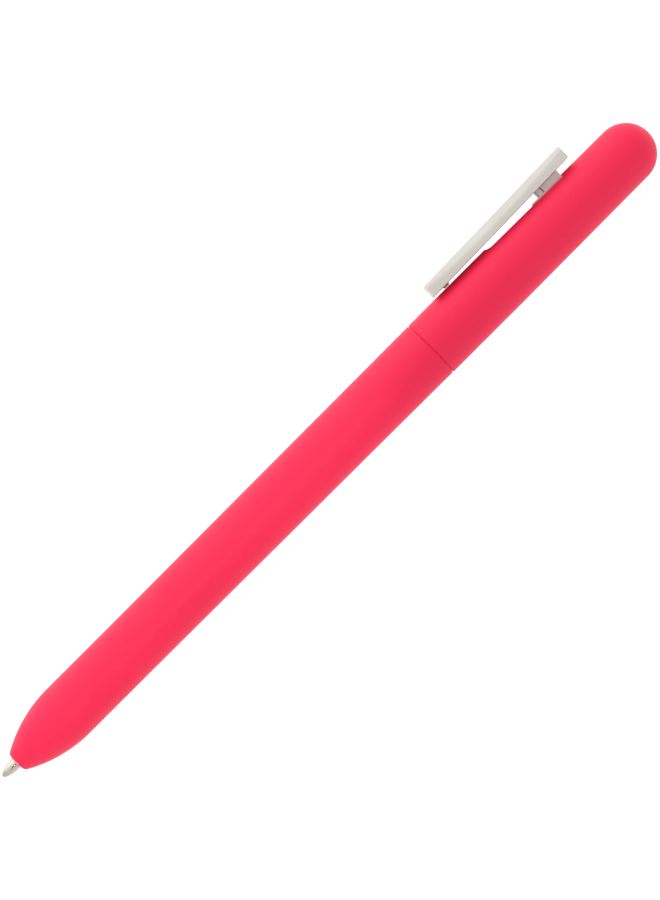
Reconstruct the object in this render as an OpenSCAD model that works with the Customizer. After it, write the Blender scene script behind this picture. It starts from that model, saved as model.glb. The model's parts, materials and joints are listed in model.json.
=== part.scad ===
// Retractable ball pen with a sliding clip.
// +X runs from the writing point to the cap, the clip stands on the +Y side, +Z is up.
// The origin is the writing point with the refill out.

/* [Barrel] */
// Length of the barrel from the mouth to the top of the dome
body_len = 140.28; // [136:0.1:145]
// Radius of the straight stretch behind the nose
barrel_r = 4.86; // [4.6:0.01:5]
// Radius of the two halves where they meet
seam_r = 5.05; // [4.9:0.01:5.2]
// How much the rear half stands proud at the seam
seam_step = 0.03; // [0:0.01:0.1]
// Distance from the mouth to the seam
seam_at = 91.93; // [90:0.01:93]
// Width of the seam line
seam_gap = 0.14; // [0.05:0.01:0.3]
// Depth of the seam line
seam_depth = 0.35; // [0.1:0.05:0.6]
// Radius of the dome at the cap end
dome_r = 4.92; // [4.8:0.01:5]
// Bore radius of the rear half
rear_bore_r = 3.7; // [3.6:0.01:3.8]

/* [Nose] */
// Length of the curved nose
nose_len = 11.38; // [10:0.01:13]
// Outer radius of the nose at the mouth
mouth_r = 1.79; // [1.6:0.01:2]
// Bore radius of the mouth
mouth_bore_r = 1.16; // [1.1:0.01:1.3]
// Distance from the mouth to the spring's shoulder
shoulder_at = 6.2; // [5.5:0.1:7]
// Distance from the mouth to the end of the straight stretch
grip_end = 24.9; // [22:0.1:30]

/* [Slot] */
// Distance from the mouth to the round front end of the slot
slot_front = 109; // [107:0.01:109.1]
// Distance from the mouth to the square rear end of the slot
slot_rear = 125.73; // [125.7:0.01:125.9]
// Width of the slot
slot_w = 3.9; // [3.8:0.05:4]
// Radius of the corners at the front end of the slot
slot_corner = 1.25; // [1:0.05:1.9]

/* [Clip] */
// Distance from the mouth to the front end of the clip bar
clip_front = 98.09; // [96:0.01:100]
// Length of the clip bar
clip_len = 30.2; // [28:0.05:33]
// Width of the clip bar
clip_w = 6.8; // [5:0.1:8]
// Distance from the axis to the underside of the bar at its front end
clip_low_front = 5.41; // [5.3:0.01:5.5]
// Distance from the axis to the top of the bar at its front end
clip_high_front = 7.71; // [7.4:0.01:7.9]
// Distance from the axis to the underside of the bar at its rear end
clip_low_rear = 6.07; // [6:0.01:6.4]
// Distance from the axis to the top of the bar at its rear end
clip_high_rear = 8.41; // [8.2:0.01:8.6]
// Depth of the bevel along each upper edge at mid-length
scoop = 0.82; // [0.4:0.01:1]
// Depth of the bevel along each upper edge at the ends of the bar
scoop_end = 0.36; // [0.1:0.01:0.4]
// Angle of the bevel's face from the side of the bar
scoop_angle = 42; // [30:1:60]
// Clearance between the clip's nub and the barrel
nub_gap = 0.05; // [0.03:0.01:0.2]

/* [Refill] */
// Length of writing tip that stands out of the mouth
tip_out = 3.27; // [2.8:0.01:3.5]
// Radius of the writing ball
ball_r = 0.35; // [0.25:0.05:0.4]
// Radius of the tip where it is straight
tip_r = 0.96; // [0.9:0.01:1.05]
// Outer radius of the ink tube
tube_r = 1.5; // [1.4:0.05:1.6]
// Wall of the ink tube
tube_wall = 0.4; // [0.3:0.05:0.5]
// Place of the ink tube's rear end
tube_end = 97.5; // [96.5:0.1:98]
// Place where the ink ends and the follower grease begins
ink_end = 78; // [60:1:90]
// Length of the follower grease
grease_len = 4; // [2:0.5:6]

/* [Mechanism] */
// Outer radius of the fins on the cam parts
fin_r = 2.75; // [2.6:0.01:2.8]
// Thickness of each fin
fin_w = 1.2; // [1:0.05:1.3]
// Number of fins on the cam parts
fins = 4; // [4]
// Radius of the cam parts' core
core_r = 2.0; // [1.9:0.01:2.05]
// Height of the cam teeth
tooth_h = 0.6; // [0.4:0.05:0.7]
// Place of the drive spring's seat on the plunger
plunger_seat = 106.4; // [106:0.05:106.5]

/* [Springs] */
// Wire radius of the return spring
return_wire_r = 0.17; // [0.14:0.01:0.19]
// Mean coil radius of the return spring
return_coil_r = 1.94; // [1.9:0.01:1.96]
// Number of turns of the return spring
return_turns = 11; // [8:1:14]
// Wire radius of the drive spring
drive_wire_r = 0.25; // [0.2:0.01:0.25]
// Mean coil radius of the drive spring
drive_coil_r = 1.7; // [1.65:0.01:1.75]
// Number of turns of the drive spring
drive_turns = 19; // [14:1:19]

/* [Hidden] */
$fn = 96;
// The smallest overlap that joins or cuts cleanly
eps = 0.01;
// A size larger than the pen, for cutting shapes
far = 200;
// Clearance of a part pressed or glued in its seat
fit_gap = 0.02;
mouth_x = tip_out;
seam_x = mouth_x + seam_at;
// Radius of the arc that forms the nose, tangent to the straight stretch
nose_drop = barrel_r - mouth_r;
nose_arc_r = (pow(nose_len, 2) + pow(nose_drop, 2)) / (2 * nose_drop);
// Radius of the arc that forms the writing tip, tangent to its straight stretch
tip_face_x = 0.15;
tip_face_r = 0.38;
tip_arc_len = 2.35;
tip_drop = tip_r - tip_face_r;
tip_arc_r = (pow(tip_arc_len, 2) + pow(tip_drop, 2)) / (2 * tip_drop);
// Front barrel bores
chamber_r = 2.3;
chamber_end = mouth_x + 28;
front_bore_r = 3.3;
socket_r = 3.75;
socket_len = 7.75;
// Rear barrel
rear_wall_x = mouth_x + 131.3;
dome_x = mouth_x + body_len - dome_r;
slot_front_x = mouth_x + slot_front;
slot_rear_x = mouth_x + slot_rear;
// Joining sleeve and cam guide
sleeve_front = seam_x - 7.25;
sleeve_rear = seam_x + 3.75;
sleeve_bore_r = 2.9;
thread_pitch = 0.8;
thread_rings = 8;
thread_h = 0.3;
guide_rear = sleeve_rear + 13;
guide_bore_r = 2.85;
rib_r = 2.1;
rib_front = sleeve_rear + 1.5;
rib_rear = rib_front + 5;
channel_w = fin_w + 0.3;
// Refill
holder_front = 11;
holder_r = 1.6;
flange_front = 23.5;
flange_rear = 24.5;
flange_r = 2.1;
spigot_len = 4.5;
channel_r = 0.3;
shank_r = 0.8;
shank_len = 4;
socket_play = 0.02;
// Cam rotor and plunger
rotor_front = 95;
rotor_rear = 102.6;
rotor_fin_front = 98.5;
rotor_fin_rear = 102;
crown_gap = 0.05;
key_front = 104;
seat_spigot_r = 1.3;
seat_spigot_len = 0.8;
// Slide carriage and clip stem
carriage_front = 121.9;
carriage_rear = 133;
carriage_r = 3.55;
rib_w = 3.6;
rib_top = 4.87;
rib_x0 = mouth_x + 119.18;
rib_x1 = slot_rear_x - 0.1;
rib_ramp = 0.4;
seat_r = 2.05;
seat_depth = 2;
pocket = [124.4, 128.6];
pocket_w = 2.6;
pocket_floor = 0.6;
foot_play = 0.05;
stem_x0 = mouth_x + 120.88;
stem_step_x = mouth_x + 121.73;
stem_x1 = rib_x1;
stem_w = 3.4;
groove_w = 2.6;
groove_len = 0.22;
// Gap between the top of the stem and the clip bar that pivots on it
pivot_gap = 0.04;
clip_x0 = mouth_x + clip_front;
clip_x1 = clip_x0 + clip_len;
nub_x = mouth_x + 100.73;
nub_base = 1.55;
nub_tip = 1.05;
nub_w = 1.4;

// Height of the clip bar's underside at a place along the pen
function clip_low(x) = clip_low_front + (clip_low_rear - clip_low_front) * (x - clip_x0) / clip_len;

// Places children that run along +Z so that they run along +X from x
module along_x(x) {
    translate([x, 0, 0]) rotate([0, 90, 0]) children();
}

// A cylinder or cone along the pen's axis, from x0 to x1
module round_bar(x0, x1, r0, r1) {
    along_x(x0) cylinder(h = x1 - x0, r1 = r0, r2 = r1);
}

// A block with its lengths along the pen given by its ends
module block(x0, x1, y0, y1, width) {
    translate([x0, y0, -width / 2]) cube([x1 - x0, y1 - y0, width]);
}

// Half a stretch of the pen, drawn as a rectangle from the axis outwards
module half_bar(x0, x1, r) {
    translate([0, x0]) square([r, x1 - x0]);
}

// Middle line of a coil: place along the spring after n turns, with one closed turn at each end
function coil_at(n, turns, length, wire_r) =
    let (closed = 2.1 * wire_r, open = (length - 2 * wire_r - 2 * closed) / (turns - 2))
    wire_r + (n < 1 ? n * closed : n > turns - 1 ? closed + (turns - 2) * open + (n - turns + 1) * closed
        : closed + (n - 1) * open);

// A helical spring along the pen, from x to x + length
module coil_spring(x, length, turns, coil_r, wire_r) {
    sides = 6;
    steps = 18;
    last = turns * steps;
    points = [
        for (i = [0:last])
            for (k = [0:sides - 1])
                let (turn = 360 * i / steps, a = 360 * k / sides, r = coil_r + wire_r * cos(a))
                [
                    x + coil_at(i / steps, turns, length, wire_r) + wire_r * sin(a),
                    r * cos(turn),
                    r * sin(turn)
                ]
    ];
    walls = [
        for (i = [0:last - 1])
            for (k = [0:sides - 1])
                let (a = i * sides + k, b = i * sides + (k + 1) % sides)
                [a, b, b + sides, a + sides]
    ];
    front = [for (k = [0:sides - 1]) sides - 1 - k];
    rear = [for (k = [0:sides - 1]) last * sides + k];
    polyhedron(points = points, faces = concat(walls, [front, rear]), convexity = 20);
}

// Fins round a cam part, from x0 to x1
module cam_fins(x0, x1) {
    for (i = [0:fins - 1])
        rotate([360 * i / fins, 0, 0]) block(x0, x1, 0, fin_r, fin_w);
}

// Ridges across the axis that stand up from x, wide apart at the rim
module crown_ridges(x, height, width) {
    for (i = [0:fins - 1])
        rotate([180 * i / fins, 0, 0])
            translate([x, 0, -core_r * 2])
                linear_extrude(height = core_r * 4)
                    polygon([[eps, -width / 2], [-height, 0], [eps, width / 2]]);
}

module front_barrel() {
    color("#ee3257") along_x(0) rotate_extrude() difference() {
        union() {
            intersection() {
                translate([barrel_r - nose_arc_r, mouth_x + nose_len]) circle(r = nose_arc_r, $fn = 360);
                half_bar(mouth_x, mouth_x + nose_len, barrel_r);
            }
            polygon([
                [0, mouth_x + nose_len], [barrel_r, mouth_x + nose_len], [barrel_r, mouth_x + grip_end],
                [seam_r, seam_x - seam_gap / 2], [seam_r - seam_depth, seam_x - seam_gap / 2],
                [seam_r - seam_depth, seam_x - fit_gap / 2], [0, seam_x - fit_gap / 2]
            ]);
        }
        half_bar(0, far, mouth_bore_r);
        half_bar(mouth_x + shoulder_at, far, chamber_r);
        half_bar(chamber_end, far, front_bore_r);
        half_bar(seam_x - socket_len, far, socket_r);
    }
}

module rear_barrel() {
    rear_seam_r = seam_r + seam_step;
    color("#ee3257") difference() {
        along_x(0) rotate_extrude() difference() {
            union() {
                polygon([
                    [0, seam_x + fit_gap / 2], [seam_r - seam_depth, seam_x + fit_gap / 2],
                    [seam_r - seam_depth, seam_x + seam_gap / 2], [rear_seam_r, seam_x + seam_gap / 2],
                    [rear_seam_r, slot_front_x - 1], [dome_r, dome_x], [0, dome_x]
                ]);
                intersection() {
                    translate([0, dome_x]) circle(r = dome_r);
                    half_bar(dome_x, far, dome_r);
                }
            }
            half_bar(0, rear_wall_x, rear_bore_r);
        }
        block(slot_front_x + slot_corner, slot_rear_x, 0, far, slot_w);
        block(slot_front_x, slot_front_x + slot_corner + eps, 0, far, slot_w - 2 * slot_corner);
        for (side = [-1, 1])
            translate([slot_front_x + slot_corner, 0, side * (slot_w / 2 - slot_corner)])
                rotate([-90, 0, 0]) cylinder(h = far, r = slot_corner);
    }
}

module joining_sleeve() {
    color("#c9ccd0") along_x(0) rotate_extrude() difference() {
        union() {
            half_bar(sleeve_front, seam_x, rear_bore_r - thread_h);
            half_bar(seam_x + seam_gap / 2, sleeve_rear, rear_bore_r - fit_gap);
            half_bar(seam_x - eps, seam_x + seam_gap, rear_bore_r - thread_h);
            for (i = [1:thread_rings])
                translate([rear_bore_r - thread_h, sleeve_front + i * thread_pitch])
                    polygon([[-eps, -thread_pitch / 2], [thread_h, -thread_pitch / 8],
                        [thread_h, thread_pitch / 8], [-eps, thread_pitch / 2]]);
        }
        half_bar(0, far, sleeve_bore_r);
    }
}

module cam_guide() {
    color("#e9e6df") difference() {
        round_bar(sleeve_rear, guide_rear, rear_bore_r - fit_gap, rear_bore_r - fit_gap);
        round_bar(0, far, rib_r, rib_r);
        round_bar(0, rib_front, guide_bore_r, guide_bore_r);
        round_bar(rib_rear, far, guide_bore_r, guide_bore_r);
        for (i = [0:fins - 1])
            rotate([360 * i / fins, 0, 0]) block(0, far, 0, guide_bore_r, channel_w);
    }
}

module return_spring() {
    shoulder_x = mouth_x + shoulder_at;
    color("#b9bcc0")
        coil_spring(shoulder_x, flange_front - shoulder_x, return_turns, return_coil_r, return_wire_r);
}

module tip_ball() {
    color("#7d7f85") translate([ball_r, 0, 0]) sphere(r = ball_r);
}

module tip_cone() {
    tangent_x = tip_face_x + tip_arc_len;
    color("#d8cbb8") along_x(0) rotate_extrude() difference() {
        union() {
            intersection() {
                translate([tip_r - tip_arc_r, tangent_x]) circle(r = tip_arc_r, $fn = 360);
                half_bar(tip_face_x, tangent_x, tip_r);
            }
            half_bar(tangent_x, holder_front, tip_r);
            half_bar(holder_front - eps, holder_front + shank_len, shank_r);
        }
        half_bar(0, far, channel_r);
        translate([0, ball_r]) circle(r = ball_r + socket_play);
    }
}

module tip_holder() {
    color("#f1efe8") difference() {
        union() {
            round_bar(holder_front, flange_front + eps, holder_r, holder_r);
            round_bar(flange_front, flange_rear, flange_r, flange_r);
            round_bar(flange_rear - eps, flange_rear + spigot_len, tube_r - tube_wall - fit_gap,
                tube_r - tube_wall - fit_gap);
        }
        round_bar(holder_front - 1, holder_front + shank_len + fit_gap, shank_r + fit_gap, shank_r + fit_gap);
        round_bar(0, far, channel_r * 2, channel_r * 2);
    }
}

module refill_tube() {
    color("#e6eef2") difference() {
        round_bar(flange_rear + fit_gap, tube_end, tube_r, tube_r);
        round_bar(0, far, tube_r - tube_wall, tube_r - tube_wall);
    }
}

module ink() {
    color("#1c2a6b")
        round_bar(flange_rear + spigot_len + fit_gap, ink_end, tube_r - tube_wall - fit_gap / 4,
            tube_r - tube_wall - fit_gap / 4);
}

module follower_grease() {
    color("#e8dc9a")
        round_bar(ink_end + fit_gap / 4, ink_end + grease_len, tube_r - tube_wall - fit_gap / 4,
            tube_r - tube_wall - fit_gap / 4);
}

module cam_rotor() {
    recess_r = tube_r + fit_gap;
    color("#d9d4c8") difference() {
        union() {
            round_bar(rotor_front, rotor_rear, core_r, core_r);
            cam_fins(rotor_fin_front, rotor_fin_rear);
        }
        round_bar(0, tube_end + fit_gap, recess_r, recess_r);
        crown_ridges(rotor_rear, tooth_h, core_r);
    }
}

module cam_plunger() {
    color("#cfc9bc") union() {
        round_bar(rotor_rear + crown_gap, plunger_seat, core_r, core_r);
        round_bar(plunger_seat - eps, plunger_seat + seat_spigot_len, seat_spigot_r, seat_spigot_r);
        cam_fins(key_front, plunger_seat);
        intersection() {
            round_bar(rotor_rear - tooth_h, rotor_rear + 2 * crown_gap, core_r, core_r);
            crown_ridges(rotor_rear + 2 * crown_gap, tooth_h - crown_gap, core_r - 4 * crown_gap);
        }
    }
}

module drive_spring() {
    color("#b9bcc0")
        coil_spring(plunger_seat, carriage_front + seat_depth - plunger_seat, drive_turns, drive_coil_r,
            drive_wire_r);
}

module slide_carriage() {
    hollow_r = 2.4;
    color("#cfb7b6") difference() {
        union() {
            round_bar(carriage_front, carriage_rear, carriage_r, carriage_r);
            translate([0, 0, -rib_w / 2]) linear_extrude(height = rib_w)
                polygon([[rib_x0, 0], [rib_x1, 0], [rib_x1, rib_top], [rib_x0 + rib_ramp, rib_top],
                    [rib_x0, rib_top - rib_ramp]]);
        }
        round_bar(0, carriage_front + seat_depth, seat_r, seat_r);
        round_bar(rib_x1 + 0.4, far, hollow_r, hollow_r);
        block(pocket[0], pocket[1], pocket_floor, far, pocket_w);
    }
}

// A stretch of the stem, from the carriage up to the sloping underside of the clip bar
module stem_slice(x0, x1, width) {
    translate([0, 0, -width / 2]) linear_extrude(height = width)
        polygon([[x0, rib_top], [x1, rib_top],
            [x1, clip_low(x1) - pivot_gap], [x0, clip_low(x0) - pivot_gap]]);
}

module clip_stem() {
    color("#b99e99") union() {
        block(pocket[0] + foot_play, pocket[1] - foot_play, pocket_floor + foot_play, rib_top + eps,
            pocket_w - 2 * foot_play);
        stem_slice(stem_x0, stem_step_x, stem_w);
        stem_slice(stem_step_x - eps, stem_step_x + groove_len + eps, groove_w);
        stem_slice(stem_step_x + groove_len, stem_x1, stem_w);
    }
}

// The round cutter that cuts the bevel along one upper edge of the clip bar
module scoop_cutter() {
    bow = scoop - scoop_end;
    bow_r = (pow(clip_len / 2, 2) + pow(bow, 2)) / (2 * bow);
    mid_top = (clip_high_front + clip_high_rear) / 2;
    tilt = atan((clip_high_rear - clip_high_front) / clip_len);
    translate([(clip_x0 + clip_x1) / 2, mid_top, clip_w / 2])
        rotate([0, 0, tilt]) rotate([90 - scoop_angle, 0, 0]) translate([0, bow_r - scoop, 0])
            cylinder(h = far / 4, r = bow_r, center = true, $fn = 1440);
}

module clip_bar() {
    nub_top = clip_low(nub_x) + 0.2;
    nub_bottom = seam_r + seam_step + nub_gap;
    color("#cdc7c0") difference() {
        union() {
            translate([0, 0, -clip_w / 2]) linear_extrude(height = clip_w)
                polygon([[clip_x0, clip_low_front], [clip_x1, clip_low_rear], [clip_x1, clip_high_rear],
                    [clip_x0, clip_high_front]]);
            translate([0, 0, -nub_w / 2]) linear_extrude(height = nub_w)
                polygon([[nub_x - nub_base / 2, nub_top], [nub_x - nub_tip / 2, nub_bottom],
                    [nub_x + nub_tip / 2, nub_bottom], [nub_x + nub_base / 2, nub_top]]);
        }
        scoop_cutter();
        mirror([0, 0, 1]) scoop_cutter();
    }
}

front_barrel();
rear_barrel();
joining_sleeve();
cam_guide();
return_spring();
tip_ball();
tip_cone();
tip_holder();
refill_tube();
ink();
follower_grease();
cam_rotor();
cam_plunger();
drive_spring();
slide_carriage();
clip_stem();
clip_bar();
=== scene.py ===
"""The looks of the retractable ball pen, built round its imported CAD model.

The pen lies along X with its writing point at the origin, its clip on the +Y side and +Z up.
Shapes are worked out in millimetres and turned into metres when a mesh is made.
"""

import json
import math

import bmesh
import bpy
from mathutils import Matrix, Vector
from mathutils.geometry import delaunay_2d_cdt


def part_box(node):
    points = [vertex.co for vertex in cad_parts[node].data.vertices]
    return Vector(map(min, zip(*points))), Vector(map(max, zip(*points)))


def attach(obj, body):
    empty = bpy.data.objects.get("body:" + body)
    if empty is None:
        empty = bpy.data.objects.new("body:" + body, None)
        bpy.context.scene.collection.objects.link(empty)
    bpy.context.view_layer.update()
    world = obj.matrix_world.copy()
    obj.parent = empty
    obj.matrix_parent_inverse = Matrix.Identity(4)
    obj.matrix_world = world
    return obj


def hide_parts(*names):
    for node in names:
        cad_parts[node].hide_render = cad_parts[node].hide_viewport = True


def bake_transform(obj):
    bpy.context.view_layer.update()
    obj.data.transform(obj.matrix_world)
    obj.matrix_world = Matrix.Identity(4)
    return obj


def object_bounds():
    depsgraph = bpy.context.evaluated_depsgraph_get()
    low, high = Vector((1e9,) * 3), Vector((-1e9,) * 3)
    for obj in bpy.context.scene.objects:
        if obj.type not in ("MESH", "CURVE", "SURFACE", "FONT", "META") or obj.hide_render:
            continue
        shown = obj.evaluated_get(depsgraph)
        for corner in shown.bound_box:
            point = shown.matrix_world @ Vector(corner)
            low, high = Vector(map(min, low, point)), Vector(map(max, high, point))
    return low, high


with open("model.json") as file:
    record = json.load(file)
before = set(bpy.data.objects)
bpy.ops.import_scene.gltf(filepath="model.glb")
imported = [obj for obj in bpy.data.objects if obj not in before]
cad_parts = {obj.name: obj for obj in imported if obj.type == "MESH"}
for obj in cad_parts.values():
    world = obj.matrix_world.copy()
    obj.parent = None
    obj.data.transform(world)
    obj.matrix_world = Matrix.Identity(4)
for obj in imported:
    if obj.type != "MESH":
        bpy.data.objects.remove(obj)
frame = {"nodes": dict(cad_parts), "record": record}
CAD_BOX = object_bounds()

MM = 0.001
# How many columns a turned shape has round the pen's axis; a multiple of 8
COLUMNS = 192
# Edges sharper than this stay sharp when a mesh is shaded smooth, in degrees
SHARP = 32
# Vertices closer than this are one vertex, in metres
WELD = 8e-7
# Triangles with less than half this area are left out, in mm2
SLIVER = 1e-4


def box_mm(node):
    """A CAD node's lowest and highest corner, in millimetres."""
    low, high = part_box(node)
    return low / MM, high / MM


# ---------------------------------------------------------------- sizes, in mm

FRONT_LOW, FRONT_HIGH = box_mm("front_barrel")
REAR_LOW, REAR_HIGH = box_mm("rear_barrel")
CLIP_LOW, CLIP_HIGH = box_mm("clip_bar")
STEM_LOW, STEM_HIGH = box_mm("clip_stem")
CARRIAGE_TOP = box_mm("slide_carriage")[1].y
HOLDER_X = box_mm("tip_holder")[0].x
BALL_LOW, BALL_HIGH = box_mm("tip_ball")
TIP_LOW, TIP_HIGH = box_mm("tip_cone")

MOUNTS = {m["name"]: m for m in frame["record"]["mounts"]}
GRIP_R = MOUNTS["grip"]["dims"]["r_mm"]
GRIP_MID = MOUNTS["grip"]["pos_m"][0] / MM
GRIP_HALF = MOUNTS["grip"]["dims"]["length_mm"] / 2

# The front half: nose and grip
MOUTH_X = FRONT_LOW.x
NOSE_END = GRIP_MID - GRIP_HALF
GRIP_END = GRIP_MID + GRIP_HALF
NOSE_LEN = NOSE_END - MOUTH_X
# The mouth: its outer radius, its bore, the bore's round lip, and the radius where its flat face ends
MOUTH_R = 1.79
MOUTH_BORE_R = 1.16
MOUTH_LIP_R = 0.1
MOUTH_FACE_R = 1.6
# The mouth's round outer edge: how far back it reaches, and how far back its corner leans
MOUTH_EDGE = 0.22
MOUTH_LEAN = 0.02
# The bores behind the mouth: a shoulder for the spring, a narrow chamber, a wide one, and the sleeve's socket
SHOULDER_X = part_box("return_spring")[0].x / MM
CHAMBER_R = 2.3
CHAMBER_END = MOUTH_X + 28
FRONT_BORE_R = 3.3
SOCKET_R = 3.75
SOCKET_LEN = 7.74
# The seam's shadow groove: half its width beyond the faces that meet, its depth, and its rounded edge
SEAM_STEP = 0.11
SEAM_R = FRONT_HIGH.y
SEAM_DEPTH = 0.2
SEAM_EDGE = 0.05

# The rear half: its bore, the wall that closes the bore, and the dome
REAR_BORE_R = 3.7
REAR_WALL_X = MOUTH_X + 131.3
DOME_R = 4.92
DOME_X = REAR_HIGH.x - DOME_R
# The slot: its ends, its corners in front and behind, and its rounded edge
SLOT_W = 3.9
SLOT_FRONT_X = MOUTH_X + 109
SLOT_REAR_X = STEM_HIGH.x + 0.1
SLOT_FRONT_R = 1.25
SLOT_CORNER_R = 0.3
SLOT_EDGE = 0.1
# Where the rear half begins to taper towards the dome
TAPER_X = SLOT_FRONT_X - 1
# The patch of surface round the slot: how far it goes past the slot's ends, and the space between the slot's
# edge and the patch's own grid of points
PATCH_MARGIN = 1.5
PATCH_GAP = 0.4
# How many columns the patch has on each side of the slot's middle
PATCH_COLUMNS = COLUMNS // 8

# How far the bar's underside and top stand from the axis, at its front end and at its rear end
CLIP_UNDER = (5.41, 6.07)
CLIP_TOP = (7.71, CLIP_HIGH.y)
# How round the bar's edges are: along the bottom, between side and bevel, along the top, and at its ends
CLIP_FOOT_R = 0.1
CLIP_SIDE_R = 0.94
CLIP_TOP_R = 0.34
CLIP_END_R = 0.2
# How far down the side the bevel reaches, at the bar's ends and at mid-length, and its angle from the side
BEVEL_END = 0.55
BEVEL_MID = 1.23
BEVEL_ANGLE = 42
# The nub: its middle, its length along the pen at its root and its tip, and its width
NUB_X = MOUTH_X + 100.73
NUB_BASE = 1.55
NUB_TIP = 1.05
NUB_W = 1.4
# How far the nub's root runs up inside the bar, and how round its corners are
NUB_ROOT = 0.3
NUB_CORNER = 0.3
# The nub's round tip: shares of its height, each with how far the outline is set in there
NUB_ROUNDING = ((0, 0.14), (0.25, 0.04), (0.5, 0), (1, 0))

# The stem: a short block, a groove, and a long block. Its foot is sunk a little into the carriage, so that
# no gap shows there, and it stops PIVOT_GAP under the bar.
STEM_X = STEM_LOW.x
STEM_STEP_X = STEM_X + 0.85
STEM_GROOVE = 0.22
STEM_GROOVE_W = 2.6
STEM_W = 3.4
STEM_CORNER = 0.12
STEM_FOOT = CARRIAGE_TOP - 0.02
PIVOT_GAP = 0.04

# The metal tip: its front face and the rim round the ball, its curved point, ink channel, shank and chamfer
TIP_FACE_R = 0.38
TIP_RIM = 0.03
TIP_ARC_LEN = 2.35
CHANNEL_R = 0.3
SHANK_R = 0.8
TIP_CHAMFER = 0.1
BALL_R = (BALL_HIGH.y - BALL_LOW.y) / 2
# Clearance round the ball in its socket
BALL_GAP = 0.02


# ---------------------------------------------------------------- outlines and meshes

def steps(start, end, count):
    """count + 1 evenly spaced values from start to end."""
    return [start + (end - start) * i / count for i in range(count + 1)]


def curve(start, corner, end, count=6):
    """A round corner: points from start to end that bend towards corner."""
    out = []
    for t in steps(0, 1, count):
        out.append(tuple(a * (1 - t) ** 2 + 2 * b * t * (1 - t) + c * t * t
                         for a, b, c in zip(start, corner, end)))
    return out


def round_polygon(corners, radius, count=5):
    """A polygon's outline with its corners rounded. radius is how far along each side a corner starts."""
    # A corner takes at most a side's length divided by this, so that two corners never meet
    parts = 2.01
    out = []
    for i, here in enumerate(corners):
        before, after = Vector(corners[i - 1]), Vector(corners[(i + 1) % len(corners)])
        here = Vector(here)
        cut_before = min(radius, (before - here).length / parts)
        cut_after = min(radius, (after - here).length / parts)
        start = here + (before - here).normalized() * cut_before
        end = here + (after - here).normalized() * cut_after
        out += curve(start, here, end, count)
    return out


def turned(profile, closed=True):
    """Points and faces of a profile of (place along the pen, radius), turned about the pen's axis."""
    points, faces, n = [], [], len(profile)
    for k in range(COLUMNS):
        turn = 2 * math.pi * k / COLUMNS
        points += [(x, r * math.cos(turn), r * math.sin(turn)) for x, r in profile]
    for k in range(COLUMNS):
        here, there = k * n, (k + 1) % COLUMNS * n
        for i in range(n if closed else n - 1):
            j = (i + 1) % n
            faces.append((here + i, here + j, there + j, there + i))
    return points, faces


def lofted(rings, ends=True):
    """Points and faces of a skin over rings that each have the same number of points."""
    n = len(rings[0])
    points = [p for ring in rings for p in ring]
    faces = []
    for a in range(len(rings) - 1):
        for i in range(n):
            j = (i + 1) % n
            faces.append((a * n + i, a * n + j, (a + 1) * n + j, (a + 1) * n + i))
    if ends:
        faces.append(tuple(range(n))[::-1])
        faces.append(tuple(range((len(rings) - 1) * n, len(rings) * n)))
    return points, faces


def make_mesh(name, points, faces):
    """A welded, smooth-shaded mesh in metres from points in millimetres."""
    mesh = bpy.data.meshes.new(name)
    mesh.from_pydata([Vector(p) * MM for p in points], [], faces)
    work = bmesh.new()
    work.from_mesh(mesh)
    bmesh.ops.remove_doubles(work, verts=work.verts, dist=WELD)
    bmesh.ops.recalc_face_normals(work, faces=work.faces)
    work.to_mesh(mesh)
    work.free()
    mesh.shade_smooth()
    mesh.set_sharp_from_angle(angle=math.radians(SHARP))
    return mesh


def make_piece(name, mesh, material, body, stands_for):
    """A piece that stands for one CAD node. It rides on a CAD body, unless body is None."""
    piece = bpy.data.objects.new(name, mesh)
    bpy.context.scene.collection.objects.link(piece)
    mesh.materials.clear()
    mesh.materials.append(material)
    if body:
        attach(piece, body)
    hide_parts(stands_for)
    return piece


def joined(name, mesh, other):
    """One mesh of two that overlap, with what lies inside removed."""
    first = bpy.data.objects.new(name, mesh)
    second = bpy.data.objects.new(name + "_tool", other)
    for o in (first, second):
        bpy.context.scene.collection.objects.link(o)
    union = first.modifiers.new("union", "BOOLEAN")
    union.operation = "UNION"
    union.solver = "EXACT"
    union.object = second
    bpy.context.view_layer.update()
    result = bpy.data.meshes.new_from_object(first.evaluated_get(bpy.context.evaluated_depsgraph_get()))
    for o in (first, second):
        bpy.data.objects.remove(o)
    result.shade_smooth()
    result.set_sharp_from_angle(angle=math.radians(SHARP))
    return result


# ---------------------------------------------------------------- barrel

def nose_radius(x):
    """Outer radius of the nose: an arc from the mouth, tangent to the straight grip."""
    drop = GRIP_R - MOUTH_R
    arc_r = (NOSE_LEN ** 2 + drop ** 2) / (2 * drop)
    return GRIP_R - arc_r + math.sqrt(arc_r ** 2 - (NOSE_LEN - (x - MOUTH_X)) ** 2)


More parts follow.
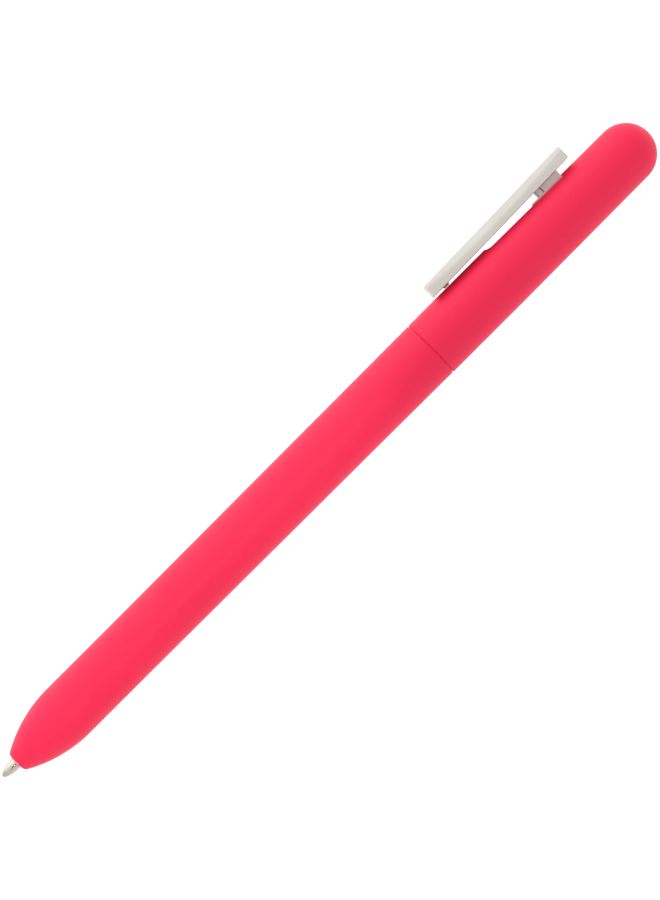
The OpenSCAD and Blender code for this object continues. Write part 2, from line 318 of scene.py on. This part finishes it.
def front_profile():
    """Outline of the front half, round from the lip of the mouth and back through the bores."""
    seam_x, edge_x = FRONT_HIGH.x, FRONT_HIGH.x - SEAM_STEP
    nose_x = MOUTH_X + MOUTH_EDGE
    outline = curve((MOUTH_X + MOUTH_LIP_R, MOUTH_BORE_R), (MOUTH_X, MOUTH_BORE_R),
                    (MOUTH_X, MOUTH_BORE_R + MOUTH_LIP_R))
    outline += curve((MOUTH_X, MOUTH_FACE_R), (MOUTH_X + MOUTH_LEAN, MOUTH_R),
                     (nose_x, nose_radius(nose_x)), 10)
    outline += [(x, nose_radius(x)) for x in steps(nose_x, NOSE_END, 40)[1:]]
    outline += [(x, GRIP_R) for x in steps(NOSE_END, GRIP_END, 6)[1:]]
    slope = (SEAM_R - GRIP_R) / (edge_x - GRIP_END)
    outline += [(x, GRIP_R + slope * (x - GRIP_END)) for x in steps(GRIP_END, edge_x - SEAM_EDGE, 20)[1:]]
    outline += curve((edge_x - SEAM_EDGE, SEAM_R), (edge_x, SEAM_R), (edge_x, SEAM_R - SEAM_EDGE))[1:]
    outline += [
        (edge_x, SEAM_R - SEAM_DEPTH), (seam_x, SEAM_R - SEAM_DEPTH),
        (seam_x, SOCKET_R), (seam_x - SOCKET_LEN, SOCKET_R), (seam_x - SOCKET_LEN, FRONT_BORE_R),
        (CHAMBER_END, FRONT_BORE_R), (CHAMBER_END, CHAMBER_R), (SHOULDER_X, CHAMBER_R),
        (SHOULDER_X, MOUTH_BORE_R),
    ]
    return outline


def rear_radius(x):
    """Outer radius of the rear half in front of its dome."""
    share = min(max((x - TAPER_X) / (DOME_X - TAPER_X), 0), 1)
    return REAR_HIGH.y + (DOME_R - REAR_HIGH.y) * share


def bore_radius(x):
    """Radius of the rear half's bore, the same all along."""
    return REAR_BORE_R


def slot_outline(out):
    """Outline of the slot in the (x, z) plane, moved outwards by out, with wide corners in front."""
    half = SLOT_W / 2
    front_x, front_z = SLOT_FRONT_X + SLOT_FRONT_R, half - SLOT_FRONT_R
    rear_x, rear_z = SLOT_REAR_X - SLOT_CORNER_R, half - SLOT_CORNER_R
    front_r, rear_r = SLOT_FRONT_R + out, SLOT_CORNER_R + out

    def corner(x, z, r, first, last, count):
        """Points of a round corner about (x, z), between two angles in degrees."""
        return [(x + r * math.cos(a), z + r * math.sin(a))
                for a in steps(math.radians(first), math.radians(last), count)]

    points = corner(front_x, front_z, front_r, 90, 180, 12)
    points += [(front_x - front_r, z) for z in steps(front_z, -front_z, 4)[1:-1]]
    points += corner(front_x, -front_z, front_r, 180, 270, 12)
    points += [(x, -half - out) for x in steps(front_x, rear_x, 17)[1:-1]]
    points += corner(rear_x, -rear_z, rear_r, -90, 0, 5)
    points += [(rear_x + rear_r, z) for z in steps(-rear_z, rear_z, 8)[1:-1]]
    points += corner(rear_x, rear_z, rear_r, 0, 90, 5)
    points += [(x, half + out) for x in steps(rear_x, front_x, 17)[1:-1]]
    return points


def slot_distance(x, z):
    """Distance from the slot's outline, below 0 inside it."""
    half = SLOT_W / 2
    front_x, front_z = SLOT_FRONT_X + SLOT_FRONT_R, half - SLOT_FRONT_R
    if x < front_x and abs(z) > front_z:
        return math.hypot(x - front_x, abs(z) - front_z) - SLOT_FRONT_R
    over_x, over_z = max(SLOT_FRONT_X - x, x - SLOT_REAR_X), abs(z) - half
    if over_x > 0 and over_z > 0:
        return math.hypot(over_x, over_z)
    return max(over_x, over_z)


def on_tube(x, z, radius):
    """The point of a turned surface above (x, z), on the clip's side."""
    return (x, math.sqrt(radius(x) ** 2 - z ** 2), z)


def slotted_patch(radius, places, hole):
    """The piece of a turned surface round the slot, as triangles between its edge and the slot's outline."""
    angles = [2 * math.pi * k / COLUMNS for k in range(-PATCH_COLUMNS, PATCH_COLUMNS + 1)]
    points, edges = [], []
    border = [(x, radius(x) * math.sin(angles[0])) for x in places]
    border += [(places[-1], radius(places[-1]) * math.sin(a)) for a in angles[1:]]
    border += [(x, radius(x) * math.sin(angles[-1])) for x in places[-2::-1]]
    border += [(places[0], radius(places[0]) * math.sin(a)) for a in angles[-2:0:-1]]
    for loop in (border, hole):
        first = len(points)
        points += loop
        edges += [(first + i, first + (i + 1) % len(loop)) for i in range(len(loop))]
    for x in places[1:-1]:
        for a in angles[1:-1]:
            z = radius(x) * math.sin(a)
            if slot_distance(x, z) > PATCH_GAP:
                points.append((x, z))
    flat, _, triangles, *_ = delaunay_2d_cdt([Vector(p) for p in points], edges, [], 0, 1e-6, False)
    # Up to 2 percent nearer the slot than the hole's outline is, so that rounding loses no triangle beside it
    nearest = slot_distance(*hole[0]) * 0.98
    faces = []
    for t in triangles:
        x, z = (sum(flat[i][axis] for i in t) / len(t) for axis in (0, 1))
        a, b, c = (flat[i] for i in t)
        if abs((b - a).cross(c - a)) > SLIVER and slot_distance(x, z) > nearest:
            faces.append(tuple(t))
    return [on_tube(p[0], p[1], radius) for p in flat], faces


def slot_walls():
    """Points and faces of the slot's rounded edge and its walls, down to the bore."""
    rings = []
    for a in steps(0, 90, 5):
        out = SLOT_EDGE * (1 - math.sin(math.radians(a)))
        drop = SLOT_EDGE * (1 - math.cos(math.radians(a)))
        ring = [on_tube(x, z, rear_radius) for x, z in slot_outline(out)]
        rings.append([(x, y - drop, z) for x, y, z in ring])
    rings.append([on_tube(x, z, bore_radius) for x, z in slot_outline(0)])
    return lofted(rings, ends=False)


def rear_outside(patch):
    """Outline of the rear half's outside, from the seam to the dome's pole, through the places in patch."""
    edge_x, top_r = REAR_LOW.x + SEAM_STEP, REAR_HIGH.y
    outline = [(REAR_LOW.x, SEAM_R - SEAM_DEPTH), (edge_x, SEAM_R - SEAM_DEPTH)]
    outline += curve((edge_x, top_r - SEAM_EDGE), (edge_x, top_r), (edge_x + SEAM_EDGE, top_r))
    outline += [(x, rear_radius(x)) for x in steps(edge_x + SEAM_EDGE, patch[0], 14)[1:-1]]
    outline += [(x, rear_radius(x)) for x in patch]
    outline += [(x, rear_radius(x)) for x in steps(patch[-1], DOME_X, 8)[1:]]
    for a in steps(0, 90, 30)[1:-1]:
        outline.append((DOME_X + DOME_R * math.sin(math.radians(a)), DOME_R * math.cos(math.radians(a))))
    return outline + [(REAR_HIGH.x, 0)]


def rear_shell():
    """Points and faces of the rear half: turned walls, with a patch round the slot outside and inside."""
    patch = steps(SLOT_FRONT_X - PATCH_MARGIN, SLOT_REAR_X + PATCH_MARGIN, 24)
    outside = rear_outside(patch)
    inside = [(REAR_WALL_X, 0), (REAR_WALL_X, REAR_BORE_R)]
    first_out = outside.index((patch[0], rear_radius(patch[0])))
    first_in = len(outside) + len(inside)
    inside += [(x, REAR_BORE_R) for x in patch[::-1]]
    inside += [(REAR_LOW.x, REAR_BORE_R)]
    rows = len(outside) + len(inside)
    patch_rows = set(range(first_out, first_out + len(patch) - 1))
    patch_rows |= set(range(first_in, first_in + len(patch) - 1))

    points, faces = turned(outside + inside)
    kept = []
    for number, face in enumerate(faces):
        column, row = divmod(number, rows)
        by_slot = column < PATCH_COLUMNS or column >= COLUMNS - PATCH_COLUMNS
        on_axis = row == len(outside) - 1
        if not on_axis and not (by_slot and row in patch_rows):
            kept.append(face)

    patches = [slotted_patch(rear_radius, patch, slot_outline(SLOT_EDGE)),
               slotted_patch(bore_radius, patch, slot_outline(0)), slot_walls()]
    for more, more_faces in patches:
        kept += [tuple(i + len(points) for i in f) for f in more_faces]
        points += more
    return points, kept


# ---------------------------------------------------------------- clip

def along_clip(x, ends):
    """A height at x on a line from the bar's front end to its rear end."""
    return ends[0] + (ends[1] - ends[0]) * (x - CLIP_LOW.x) / (CLIP_HIGH.x - CLIP_LOW.x)


def bevel_reach(x):
    """How far down the side the bevel reaches at x: even over most of the bar, less at its ends."""
    middle, half_len = (CLIP_LOW.x + CLIP_HIGH.x) / 2, (CLIP_HIGH.x - CLIP_LOW.x) / 2
    return BEVEL_END + (BEVEL_MID - BEVEL_END) * (1 - abs((x - middle) / half_len) ** 3)


def clip_section(x, set_in):
    """The bar's outline across at x, with every face moved inwards by set_in."""
    angle = math.radians(BEVEL_ANGLE)
    low = along_clip(x, CLIP_UNDER) + set_in
    high = along_clip(x, CLIP_TOP) - set_in
    half = CLIP_HIGH.z - set_in
    reach = bevel_reach(x) - set_in * (1 - math.tan(angle / 2))
    # No radius shrinks to nothing at the bar's ends
    least_r = 0.01
    foot_r, side_r, top_r = (max(r - set_in, least_r) for r in (CLIP_FOOT_R, CLIP_SIDE_R, CLIP_TOP_R))
    top_z = half - reach * math.tan(angle) - top_r * (1 - math.sin(angle)) / math.cos(angle)
    corners = [
        ((low + foot_r, half - foot_r), foot_r, -90, 0),
        ((high - reach - side_r * math.tan(angle / 2), half - side_r), side_r, 0, BEVEL_ANGLE),
        ((high - top_r, top_z), top_r, BEVEL_ANGLE, 90),
    ]
    side = []
    for (y, z), r, first, last in corners:
        for a in steps(math.radians(first), math.radians(last), 6):
            side.append((y + r * math.sin(a), z + r * math.cos(a)))
    return [(x, y, z) for y, z in side] + [(x, y, -z) for y, z in side[::-1]]


def clip_mesh():
    """The bar, with rounded edges and ends, and the nub under its front end."""
    end = [(CLIP_END_R * (1 - math.cos(a)), CLIP_END_R * (1 - math.sin(a)))
           for a in steps(0, math.pi / 2, 5)[:-1]]
    rings = [(CLIP_LOW.x + along, set_in) for along, set_in in end]
    rings += [(x, 0) for x in steps(CLIP_LOW.x + CLIP_END_R, CLIP_HIGH.x - CLIP_END_R, 48)]
    rings += [(CLIP_HIGH.x - along, set_in) for along, set_in in end[::-1]]
    bar = make_mesh("bar", *lofted([clip_section(x, set_in) for x, set_in in rings]))
    root_y = along_clip(NUB_X, CLIP_UNDER) + NUB_ROOT
    nub_rings = []
    for share, set_in in NUB_ROUNDING:
        y = CLIP_LOW.y + share * (root_y - CLIP_LOW.y)
        half_x = (NUB_TIP + (NUB_BASE - NUB_TIP) * share) / 2 - set_in
        half_z = NUB_W / 2 - set_in
        corners = [(-half_x, -half_z), (half_x, -half_z), (half_x, half_z), (-half_x, half_z)]
        nub_rings.append([(NUB_X + x, y, z) for x, z in round_polygon(corners, NUB_CORNER)])
    nub = make_mesh("nub", *lofted(nub_rings))
    return joined("clip_bar_moulding", bar, nub)


def stem_mesh():
    """The stem between the carriage and the bar: two blocks with a narrow groove between them."""
    half, neck = STEM_W / 2, STEM_GROOVE_W / 2
    groove_x = STEM_STEP_X + STEM_GROOVE
    one_side = [
        (STEM_X, half), (STEM_STEP_X, half), (STEM_STEP_X, neck), (groove_x, neck),
        (groove_x, half), (STEM_HIGH.x, half),
    ]
    outline = round_polygon(one_side + [(x, -z) for x, z in one_side[::-1]], STEM_CORNER)
    low = [(x, STEM_FOOT, z) for x, z in outline]
    high = [(x, along_clip(x, CLIP_UNDER) - PIVOT_GAP, z) for x, z in outline]
    return make_mesh("clip_stem_moulding", *lofted([low, high]))


# ---------------------------------------------------------------- writing tip and springs

def tip_profile():
    """Outline of the metal tip: rim, curved point, straight stretch, shank and ink channel."""
    tip_r, face_x = TIP_HIGH.y, TIP_LOW.x
    drop = tip_r - TIP_FACE_R
    arc_r = (TIP_ARC_LEN ** 2 + drop ** 2) / (2 * drop)
    outline = []
    for x in steps(face_x + TIP_RIM, face_x + TIP_ARC_LEN, 24):
        outline.append((x, tip_r - arc_r + math.sqrt(arc_r ** 2 - (face_x + TIP_ARC_LEN - x) ** 2)))
    outline += [
        (HOLDER_X - TIP_CHAMFER, tip_r), (HOLDER_X, tip_r - TIP_CHAMFER), (HOLDER_X, SHANK_R),
        (TIP_HIGH.x, SHANK_R), (TIP_HIGH.x, CHANNEL_R),
    ]
    socket_r = BALL_R + BALL_GAP
    start = math.degrees(math.asin(CHANNEL_R / socket_r))
    end = 180 - math.degrees(math.acos((BALL_R - face_x) / socket_r))
    for a in steps(start, end, 12):
        outline.append((BALL_R + socket_r * math.cos(math.radians(a)), socket_r * math.sin(math.radians(a))))
    outline.append((face_x, TIP_FACE_R - TIP_RIM))
    return outline


def ball_profile():
    """Half outline of the writing ball, from pole to pole."""
    outline = []
    for a in steps(180, 0, 32):
        outline.append((BALL_R + BALL_R * math.cos(math.radians(a)), abs(BALL_R * math.sin(math.radians(a)))))
    return outline


def spring_mesh(name, node, turns, wire_r, coil_r):
    """A helical spring where the CAD spring stands, with one closed turn at each end."""
    low, high = box_mm(node)
    sides, per_turn = 12, 32
    # How far one turn runs along the pen: a closed turn, just clear of its neighbour, and an open one
    closed = 2.1 * wire_r
    opened = (high.x - low.x - 2 * wire_r - 2 * closed) / (turns - 2)
    rings = []
    for i in range(turns * per_turn + 1):
        n = i / per_turn
        along = wire_r + min(n, 1) * closed + min(max(n - 1, 0), turns - 2) * opened
        along += max(n - turns + 1, 0) * closed
        turn = 2 * math.pi * n
        ring = []
        for k in range(sides):
            a = 2 * math.pi * k / sides
            r = coil_r + wire_r * math.cos(a)
            ring.append((low.x + along + wire_r * math.sin(a), r * math.cos(turn), r * math.sin(turn)))
        rings.append(ring)
    return make_mesh(name, *lofted(rings))


# ---------------------------------------------------------------- materials

class Paint:
    """A material with a Principled shader, and short ways to add nodes whose sizes are in millimetres."""

    def __init__(self, name, color, roughness, metallic=0.0):
        self.material = bpy.data.materials.new(name)
        self.material.use_nodes = True
        self.nodes = self.material.node_tree.nodes
        self.links = self.material.node_tree.links
        self.shader = self.nodes["Principled BSDF"]
        self.shader.inputs["Base Color"].default_value = (*color, 1)
        self.shader.inputs["Roughness"].default_value = roughness
        self.shader.inputs["Metallic"].default_value = metallic
        self.coords = self.nodes.new("ShaderNodeTexCoord")

    def set(self, **values):
        """Sets the shader's own sockets, with _ for a space in a name."""
        for name, value in values.items():
            self.shader.inputs[name.replace("_", " ")].default_value = value

    def scaled(self, stretch=(1, 1, 1)):
        """Object coordinates in millimetres, stretched along an axis."""
        mapping = self.nodes.new("ShaderNodeMapping")
        mapping.inputs["Scale"].default_value = [s / MM for s in stretch]
        self.links.new(self.coords.outputs["Object"], mapping.inputs["Vector"])
        return mapping.outputs["Vector"]

    def noise(self, size, detail=3.0, rough=0.5, stretch=(1, 1, 1)):
        """Noise whose features are about size millimetres across."""
        node = self.nodes.new("ShaderNodeTexNoise")
        node.inputs["Scale"].default_value = 1 / size
        node.inputs["Detail"].default_value = detail
        node.inputs["Roughness"].default_value = rough
        self.links.new(self.scaled(stretch), node.inputs["Vector"])
        return node.outputs["Fac"]

    def ranged(self, value, low, high, from_low=0.3, from_high=0.7):
        """A value mapped from its usual spread to low..high."""
        node = self.nodes.new("ShaderNodeMapRange")
        node.inputs["From Min"].default_value = from_low
        node.inputs["From Max"].default_value = from_high
        node.inputs["To Min"].default_value = low
        node.inputs["To Max"].default_value = high
        self.links.new(value, node.inputs["Value"])
        return node.outputs["Result"]

    def mixed(self, factor, first, second):
        """A colour between two, which may be colours or sockets."""
        node = self.nodes.new("ShaderNodeMix")
        node.data_type = "RGBA"
        self.links.new(factor, node.inputs["Factor"])
        for socket, value in ((node.inputs[6], first), (node.inputs[7], second)):
            if isinstance(value, tuple):
                socket.default_value = (*value, 1)
            else:
                self.links.new(value, socket)
        return node.outputs[2]

    def feed(self, socket, value):
        """Links a value to one of the shader's sockets."""
        self.links.new(value, self.shader.inputs[socket])

    def bump(self, *layers):
        """Bumps, each (height, strength, depth in millimetres), laid over each other."""
        normal = None
        for height, strength, depth in layers:
            node = self.nodes.new("ShaderNodeBump")
            node.inputs["Strength"].default_value = strength
            node.inputs["Distance"].default_value = depth * MM
            self.links.new(height, node.inputs["Height"])
            if normal:
                self.links.new(normal, node.inputs["Normal"])
            normal = node.outputs["Normal"]
        self.feed("Normal", normal)

    def worn_edges(self, most):
        """A factor that rises from 0 on flat surfaces to most on convex edges."""
        flat, sharp = 0.53, 0.62
        convexity = self.nodes.new("ShaderNodeNewGeometry").outputs["Pointiness"]
        return self.ranged(convexity, 0, most, flat, sharp)


def soft_touch():
    """Coral red plastic with a velvety coat: fine grain, a pale bloom and slightly rubbed edges."""
    paint = Paint("soft_touch_coral", (0.9, 0.006, 0.067), 0.5)
    broad = paint.noise(26, detail=2)
    grain = paint.noise(0.3, detail=4, rough=0.6)
    color = paint.mixed(paint.ranged(broad, 0, 1), (0.91, 0.007, 0.07), (0.88, 0.005, 0.063))
    color = paint.mixed(paint.ranged(grain, 0, 0.03), color, (0.96, 0.14, 0.2))
    color = paint.mixed(paint.worn_edges(0.2), color, (0.96, 0.06, 0.12))
    paint.feed("Base Color", color)
    paint.feed("Roughness", paint.ranged(paint.noise(3.5, detail=3), 0.535, 0.565))
    paint.set(Sheen_Weight=0.03, Sheen_Roughness=0.4, Sheen_Tint=(1.0, 0.72, 0.76, 1))
    paint.set(Specular_IOR_Level=0.38)
    paint.bump((grain, 0.1, 0.02), (paint.noise(0.09, detail=2), 0.12, 0.01))
    return paint.material


def moulded(name, color, dark, roughness, grain_size=0.22):
    """Moulded plastic with a fine spark-eroded texture and faint cloudiness."""
    paint = Paint(name, color, roughness)
    cloud = paint.noise(7, detail=3)
    grain = paint.noise(grain_size, detail=3, rough=0.65)
    tone = paint.mixed(paint.ranged(cloud, 0, 1), color, dark)
    paint.feed("Base Color", paint.mixed(paint.worn_edges(0.3), tone, (0.95, 0.94, 0.92)))
    paint.feed("Roughness", paint.ranged(grain, roughness - 0.06, roughness + 0.06))
    paint.set(Specular_IOR_Level=0.4)
    paint.bump((grain, 0.12, 0.02))
    return paint.material


def turned_metal(name, color, roughness, line_size=0.05):
    """Metal turned on a lathe: fine rings round the axis and faint stains."""
    paint = Paint(name, color, roughness, metallic=1.0)
    rings = paint.noise(line_size, detail=2, stretch=(1, 0.02, 0.02))
    stain = paint.noise(0.9, detail=4)
    paint.feed("Base Color", paint.mixed(paint.ranged(stain, 0, 0.5), color, tuple(c * 0.8 for c in color)))
    paint.feed("Roughness", paint.ranged(rings, roughness - 0.06, roughness + 0.1))
    paint.bump((rings, 0.2, 0.004))
    return paint.material


def clear_tube():
    """Clear plastic tube, faintly scratched along its length."""
    paint = Paint("clear_tube", (0.93, 0.96, 0.97), 0.12)
    scratch = paint.noise(0.15, detail=3, stretch=(0.05, 1, 1))
    paint.feed("Roughness", paint.ranged(scratch, 0.08, 0.2))
    paint.set(Transmission_Weight=0.9, IOR=1.49, Alpha=0.6)
    paint.bump((scratch, 0.05, 0.01))
    return paint.material


def fluid(name, color, dark):
    """Ink or grease inside the tube, with slight streaks where it has moved."""
    paint = Paint(name, color, 0.2)
    streak = paint.noise(0.8, detail=3, stretch=(0.15, 1, 1))
    paint.feed("Base Color", paint.mixed(paint.ranged(streak, 0, 1), color, dark))
    paint.feed("Roughness", paint.ranged(streak, 0.15, 0.28))
    paint.bump((streak, 0.05, 0.02))
    return paint.material


# ---------------------------------------------------------------- building

def dress(node, material, edge=0.0):
    """Gives a CAD node its material, and softens its edges by edge millimetres."""
    part = frame["nodes"][node]
    part.data.materials.clear()
    part.data.materials.append(material)
    if edge:
        bevel = part.modifiers.new("soft_edges", "BEVEL")
        bevel.width = edge * MM
        bevel.segments = 3
        bevel.limit_method = "ANGLE"
        bevel.angle_limit = math.radians(40)
        bevel.harden_normals = True


def build_pen():
    """Every visible piece, and the looks of the CAD nodes that stay as they are."""
    coral = soft_touch()
    grey = moulded("clip_grey", (0.655, 0.63, 0.58), (0.62, 0.59, 0.54), 0.45)
    # The stem and carriage are the clip's grey plastic; the pink cast of this copy is painted red bounce
    # light from the barrel under the clip.
    carriage_grey_red_bounce = moulded("carriage_grey_red_bounce", (0.66, 0.57, 0.53), (0.62, 0.53, 0.49), 0.5)
    white = moulded("natural_acetal", (0.82, 0.8, 0.74), (0.76, 0.73, 0.67), 0.42, 0.15)
    nickel = turned_metal("nickel_silver", (0.62, 0.56, 0.48), 0.16)
    steel = turned_metal("spring_wire", (0.62, 0.61, 0.6), 0.28, 0.08)
    sleeve = turned_metal("turned_aluminium", (0.7, 0.7, 0.72), 0.3, 0.07)
    carbide = turned_metal("carbide", (0.32, 0.32, 0.34), 0.16, 0.02)

    make_piece("front_shell", make_mesh("front_shell", *turned(front_profile())), coral,
               "barrel", "front_barrel")
    make_piece("rear_shell", make_mesh("rear_shell", *rear_shell()), coral, "barrel", "rear_barrel")
    make_piece("clip_bar_moulding", clip_mesh(), grey, "clip", "clip_bar")
    make_piece("clip_stem_moulding", stem_mesh(), carriage_grey_red_bounce, "carriage", "clip_stem")
    make_piece("writing_tip", make_mesh("writing_tip", *turned(tip_profile())), nickel,
               "refill", "tip_cone")
    make_piece("writing_ball", make_mesh("writing_ball", *turned(ball_profile(), closed=False)), carbide,
               "ball", "tip_ball")

    coil = spring_mesh("nose_spring", "return_spring", turns=11, wire_r=0.17, coil_r=1.94)
    nose_spring = make_piece("nose_spring", coil, steel, None, "return_spring")
    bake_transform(nose_spring)
    coil = spring_mesh("push_spring", "drive_spring", turns=19, wire_r=0.25, coil_r=1.7)
    push_spring = make_piece("push_spring", coil, steel, None, "drive_spring")
    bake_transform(push_spring)

    dress("slide_carriage", carriage_grey_red_bounce, 0.12)
    dress("joining_sleeve", sleeve)
    dress("cam_guide", white)
    dress("tip_holder", white, 0.1)
    dress("cam_rotor", white, 0.08)
    dress("cam_plunger", white, 0.08)
    dress("refill_tube", clear_tube())
    dress("ink", fluid("blue_ink", (0.01, 0.015, 0.14), (0.005, 0.008, 0.08)))
    dress("follower_grease", fluid("grease", (0.8, 0.7, 0.32), (0.7, 0.6, 0.25)))


# ---------------------------------------------------------------- floor, light and camera

def build_floor():
    """A pale floor that the barrel rests on. Its glow is painted light, brighter on the clip's side: it
    lights the pen from below and keeps the pen's shadow off the floor.
    """
    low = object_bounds()[0]
    # Half the floor's width, in metres
    half = 3.0
    # Its painted glow on the side away from the clip and on the clip's side, and how many mm off the axis
    # each begins
    weak, strong, off_axis = 0.85, 1.18, 15
    corners = [(-half, -half), (half, -half), (half, half), (-half, half)]
    mesh = bpy.data.meshes.new("floor")
    mesh.from_pydata([(x, y, low.z) for x, y in corners], [], [(0, 1, 2, 3)])
    floor = bpy.data.objects.new("floor", mesh)
    bpy.context.scene.collection.objects.link(floor)
    paint = Paint("pale_floor", (0.2, 0.2, 0.2), 0.9)
    paint.set(Emission_Color=(1.0, 1.0, 1.0, 1), Specular_IOR_Level=0.0)
    across = paint.nodes.new("ShaderNodeSeparateXYZ")
    paint.links.new(paint.scaled(), across.inputs["Vector"])
    paint.feed("Emission Strength", paint.ranged(across.outputs["Y"], weak, strong, -off_axis, off_axis))
    mesh.materials.append(paint.material)


def area_light(name, place, target, size, power, spread=180):
    """A soft square light at place, in metres, that faces target. spread is its beam's angle, in degrees."""
    data = bpy.data.lights.new(name, "AREA")
    data.size = size
    data.energy = power
    data.spread = math.radians(spread)
    light = bpy.data.objects.new(name, data)
    light.location = place
    light.rotation_euler = (Vector(target) - Vector(place)).to_track_quat("-Z", "Y").to_euler()
    bpy.context.scene.collection.objects.link(light)


def build_world():
    """A white studio, much brighter low on the clip's side, with a small dark patch overhead."""
    world = bpy.data.worlds.new("studio")
    world.use_nodes = True
    bpy.context.scene.world = world
    nodes, links = world.node_tree.nodes, world.node_tree.links
    coords = nodes.new("ShaderNodeTexCoord")

    def by_direction(toward, low, high, away, near):
        """A factor that runs from away to near as the cosine of the angle to toward runs from low to high."""
        dot = nodes.new("ShaderNodeVectorMath")
        dot.operation = "DOT_PRODUCT"
        dot.inputs[1].default_value = Vector(toward).normalized()
        links.new(coords.outputs["Generated"], dot.inputs[0])
        ramp = nodes.new("ShaderNodeMapRange")
        ramp.interpolation_type = "SMOOTHSTEP"
        ramp.inputs["From Min"].default_value = low
        ramp.inputs["From Max"].default_value = high
        ramp.inputs["To Min"].default_value = away
        ramp.inputs["To Max"].default_value = near
        links.new(dot.outputs["Value"], ramp.inputs["Value"])
        return ramp.outputs["Result"]

    def times(first, second):
        """The product of two factors."""
        node = nodes.new("ShaderNodeMath")
        node.operation = "MULTIPLY"
        links.new(first, node.inputs[0])
        links.new(second, node.inputs[1])
        return node.outputs["Value"]

    overall = by_direction((0, -1, 0), low=0.5, high=1, away=0.84, near=0.93)
    clip_side = by_direction((0, 1, 0.15), low=0.7, high=1, away=1.0, near=2.4)
    dark_patch = by_direction((-0.26, -0.18, 1), low=0.982, high=0.988, away=1.0, near=0.02)
    strength = times(times(overall, clip_side), dark_patch)
    links.new(strength, nodes["Background"].inputs["Strength"])
    nodes["Background"].inputs["Color"].default_value = (1, 1, 1, 1)


def build_lights():
    """A soft key light on the clip's side, and a box whose narrow beam covers the pen as far as X 86 mm."""
    area_light("key", place=(-0.08, 0.22, 0.36), target=(0, 0, 0), size=0.5, power=0.26)
    area_light("front_box", place=(0.015, -0.1, 0.48), target=(0.015, 0, 0), size=0.142, power=0.0108,
               spread=3)


def build_camera():
    """A long lens straight above the pen, turned so that the pen runs from lower left to upper right."""
    tilt = math.radians(44.96)
    distance = 0.43
    # What the picture's longer side takes in at the height of the pen's axis
    seen_length = 0.1417
    # The picture's centre: how far behind the pen's middle, and how far off its axis
    behind, aside = 0.001, -0.000045
    middle = (CAD_BOX[0] + CAD_BOX[1]) / 2
    centre = Vector((middle.x + behind, aside, 0))
    data = bpy.data.cameras.new("camera")
    data.sensor_width = 36
    data.lens = data.sensor_width * distance / seen_length
    data.clip_end = 20
    camera = bpy.data.objects.new("camera", data)
    right = Vector((math.cos(tilt), -math.sin(tilt), 0))
    up = Vector((math.sin(tilt), math.cos(tilt), 0))
    turn = Matrix((right, up, (0, 0, 1))).transposed()
    camera.matrix_world = Matrix.Translation(centre + Vector((0, 0, distance))) @ turn.to_4x4()
    bpy.context.scene.collection.objects.link(camera)
    bpy.context.scene.camera = camera


bpy.context.scene.view_settings.view_transform = "Standard"
build_camera()
build_pen()
build_floor()
build_world()
build_lights()
